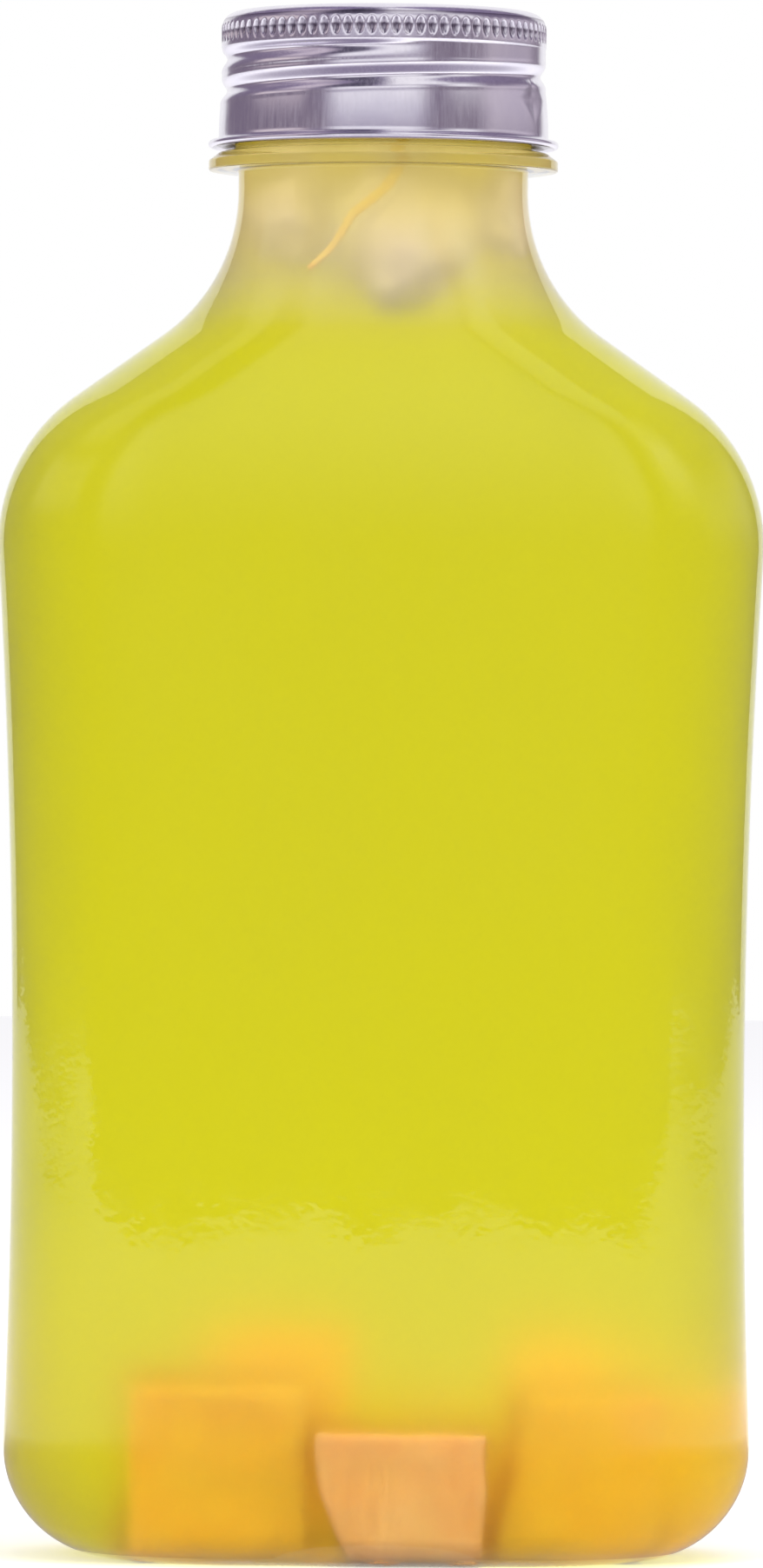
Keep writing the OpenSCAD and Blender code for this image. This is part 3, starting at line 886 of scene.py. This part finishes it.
ice_top = ring_z + 1.8
ICE = [
    ("ice_left", [5.8, 7, 8.4], [-8.7, -2.8, ice_top - 7.2], 20, 0.2),
    ("ice_middle", [8.6, 7.6, 11.2], [2, -5.2, ice_top - 9.6], 75, 0.28),
    ("ice_right", [3.2, 5.4, 7.4], [12.4, -1.2, ice_top - 6.9], 140, 0.2),
    ("ice_back", [9.4, 5.6, 9], [0.5, 8.4, ice_top - 7.6], 200, 0.1),
]
for seed, (name, size, at, wave, forward) in enumerate(ICE):
    build_ice(name, size, at, wave, forward, seed * 3.7)
build_strand()

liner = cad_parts["liner"]
liner.data.materials.clear()
liner.data.materials.append(liner_material())

# ---------------------------------------------------------------- camera
# The photograph is level, square to the front, from about 1.31 m, and turned by a third of a degree
CAMERA_DISTANCE = 1.31
CAMERA_HEIGHT = 0.093
CAMERA_LENS = 249.6
CAMERA_ROLL = math.radians(0.33)
CAMERA_SIDE = 0.0002

camera_data = bpy.data.cameras.new("camera")
camera_data.lens = CAMERA_LENS
camera_data.sensor_width = 36
camera_data.clip_start = 0.05
camera = bpy.data.objects.new("camera", camera_data)
camera.matrix_world = (
    Matrix.Translation((CAMERA_SIDE, -CAMERA_DISTANCE, CAMERA_HEIGHT))
    @ Matrix.Rotation(math.radians(90), 4, "X")
    @ Matrix.Rotation(CAMERA_ROLL, 4, "Z")
)
bpy.context.scene.collection.objects.link(camera)
bpy.context.scene.camera = camera


# ---------------------------------------------------------------- studio
# What the gloss shows of the room, as (turns to the right, heights, softness, colour), in degrees
ROOM_PATCHES = [
    ((-38, 28), (2, 40), 8, (0.52, 0.49, 0.60)),
    ((-38, 30), (10, 34), 8, (1.0, 0.99, 1.0)),
    ((76, 132), (3, 22), 10, (0.66, 0.60, 0.66)),
    ((-106, -60), (12, 30), 5, (0.80, 0.71, 0.72)),
    ((-96, -60), (38, 66), 7, (0.70, 0.62, 0.68)),
    ((-54, -10), (40, 84), 6, (0.09, 0.08, 0.12)),
    ((2, 60), (42, 89), 5, (1.0, 0.99, 1.0)),
    ((48, 76), (16, 44), 10, (1.0, 0.99, 1.0)),
]
ONLY_GLOSS = ("camera", "diffuse", "transmission", "shadow")


def seen_ray(tree):
    """1 for rays that come from the camera, a reflection or glass."""
    path = node(tree, "ShaderNodeLightPath")
    first = maths(tree, "MAXIMUM", path.outputs["Is Camera Ray"], path.outputs["Is Glossy Ray"])
    return maths(tree, "MAXIMUM", first, path.outputs["Is Transmission Ray"])


def build_world():
    world = bpy.data.worlds.new("studio")
    world.use_nodes = True
    tree = world.node_tree
    tree.nodes.clear()
    plain = node(tree, "ShaderNodeBackground", {"Color": (0.97, 0.96, 1, 1), "Strength": 0.75})
    white = node(tree, "ShaderNodeBackground", {"Color": (1, 1, 1, 1), "Strength": 1.0})
    both = node(tree, "ShaderNodeMixShader", {0: seen_ray(tree), 1: plain.outputs[0], 2: white.outputs[0]})
    node(tree, "ShaderNodeOutputWorld", {"Surface": both.outputs[0]})
    bpy.context.scene.world = world


def stage_piece(name, verts, faces, material, unseen=()):
    """A piece of the studio, which the ray kinds in unseen pass by."""
    mesh = bpy.data.meshes.new(name)
    mesh.from_pydata(verts, [], faces)
    mesh.materials.append(material)
    obj = bpy.data.objects.new(name, mesh)
    bpy.context.scene.collection.objects.link(obj)
    for kind in unseen:
        setattr(obj, "visible_" + kind, False)


def grid_faces(rows, columns):
    return [
        [j * columns + i, j * columns + i + 1, (j + 1) * columns + i + 1, (j + 1) * columns + i]
        for j in range(rows - 1)
        for i in range(columns - 1)
    ]


def build_floor():
    """The white table, whose front edge shows in the bottle's gloss."""
    front, back, side = -1.05, 3.0, 1.9
    material, tree = new_material("table_white")
    paint = node(tree, "ShaderNodeBsdfDiffuse", {"Color": (0.9, 0.9, 0.9, 1)}).outputs[0]
    strength = ranged(tree, seen_ray(tree), 0, 1, 0, 0.25)
    glow = node(tree, "ShaderNodeEmission", {"Color": (1, 1, 1, 1), "Strength": strength}).outputs[0]
    finish_material(tree, node(tree, "ShaderNodeAddShader", {0: paint, 1: glow}).outputs[0])
    corners = [(-side, front, 0), (side, front, 0), (side, back, 0), (-side, back, 0)]
    stage_piece("table", corners, [[0, 1, 2, 3]], material)


def build_room():
    """The grey room in front of the table, with its windows, which only reflections show."""
    middle, radius, back_turn, low = 0.15, 2.6, 146, -20
    material, tree = new_material("room_grey")
    where = node(tree, "ShaderNodeNewGeometry").outputs["Position"]
    turn, height = turn_round(tree, where)
    turn = ranged(tree, turn, -math.pi, math.pi, -180, 180)
    lift = maths(tree, "ARCSINE", ranged(tree, height, middle - radius, middle + radius, -1, 1))
    lift = ranged(tree, lift, -math.pi / 2, math.pi / 2, -90, 90)
    rising = ranged(tree, lift, 0, 90, 0, 1)
    colour = ramp(tree, rising, [(0.0, (0.22, 0.18, 0.23)), (1.0, (0.26, 0.21, 0.36))])
    for sides, heights, soft, tone in ROOM_PATCHES:
        share = None
        for value, (start, end) in ((turn, sides), (lift, heights)):
            rise = ranged(tree, value, start - soft, start + soft, 0, 1, True)
            fall = ranged(tree, value, end - soft, end + soft, 1, 0, True)
            for edge in (rise, fall):
                share = edge if share is None else maths(tree, "MULTIPLY", share, edge)
        colour = mixed(tree, share, colour, tone)
    finish_material(tree, node(tree, "ShaderNodeEmission", {"Color": colour, "Strength": 1.0}).outputs[0])

    turns = np.radians(np.linspace(-back_turn, back_turn, 65))
    lifts = np.radians(np.linspace(low, 90, 23))
    verts = [
        (
            radius * math.cos(e) * math.sin(t),
            -radius * math.cos(e) * math.cos(t),
            middle + radius * math.sin(e),
        )
        for e in lifts
        for t in turns
    ]
    stage_piece("room", verts, grid_faces(len(lifts), len(turns)), material, ONLY_GLOSS)


def build_reflected_shade():
    """A painted grey shade on the table round the bottle, soft at its edges, which only reflections show."""
    material, tree = new_material("reflected_shade_grey")
    where = node(tree, "ShaderNodeTexCoord").outputs["Object"]
    reach = node(tree, "ShaderNodeVectorMath", {0: where}, operation="LENGTH").outputs["Value"]
    turn, _ = turn_round(tree, where)
    ahead = ranged(tree, maths(tree, "ABSOLUTE", turn), math.radians(35), math.radians(80), 1, 0.85, True)
    cover = ranged(tree, reach, 0.13, 0.50, 1, 0, True)
    cover = maths(tree, "MULTIPLY", cover, ahead)
    grey = node(tree, "ShaderNodeEmission", {"Color": (0.30, 0.26, 0.36, 1), "Strength": 1.0}).outputs[0]
    clear = node(tree, "ShaderNodeBsdfTransparent").outputs[0]
    finish_material(tree, node(tree, "ShaderNodeMixShader", {0: cover, 1: clear, 2: grey}).outputs[0])
    turns, reaches = np.radians(np.linspace(-150, 150, 61)), (0.024, 0.55)
    verts = [(r * math.sin(t), -r * math.cos(t), 0.001) for r in reaches for t in turns]
    stage_piece("mat", verts, grid_faces(2, len(turns)), material, ONLY_GLOSS)


def softbox(name, place, aim, size, watts):
    lamp = bpy.data.lights.new(name, "AREA")
    lamp.shape = "RECTANGLE"
    lamp.size, lamp.size_y = size
    lamp.energy = watts
    obj = bpy.data.objects.new(name, lamp)
    obj.location = place
    obj.rotation_euler = (Vector(aim) - Vector(place)).to_track_quat("-Z", "Y").to_euler()
    obj.visible_glossy = False
    bpy.context.scene.collection.objects.link(obj)


build_world()
build_floor()
build_room()
build_reflected_shade()
softbox("soft_top", (0.25, -0.35, 1.7), (0, 0, 0.1), (1.0, 1.0), 8)
softbox("soft_front", (-1.0, -1.35, 1.1), (0, 0, 0.1), (0.9, 0.9), 10)
softbox("soft_right", (1.25, -0.7, 0.95), (0, 0, 0.15), (0.4, 0.4), 4)

cycles = bpy.context.scene.cycles
cycles.use_light_tree = False
cycles.max_bounces, cycles.transmission_bounces = 7, 7
cycles.diffuse_bounces, cycles.glossy_bounces = 1, 2

view_settings = bpy.context.scene.view_settings
view_settings.view_transform = "Standard"
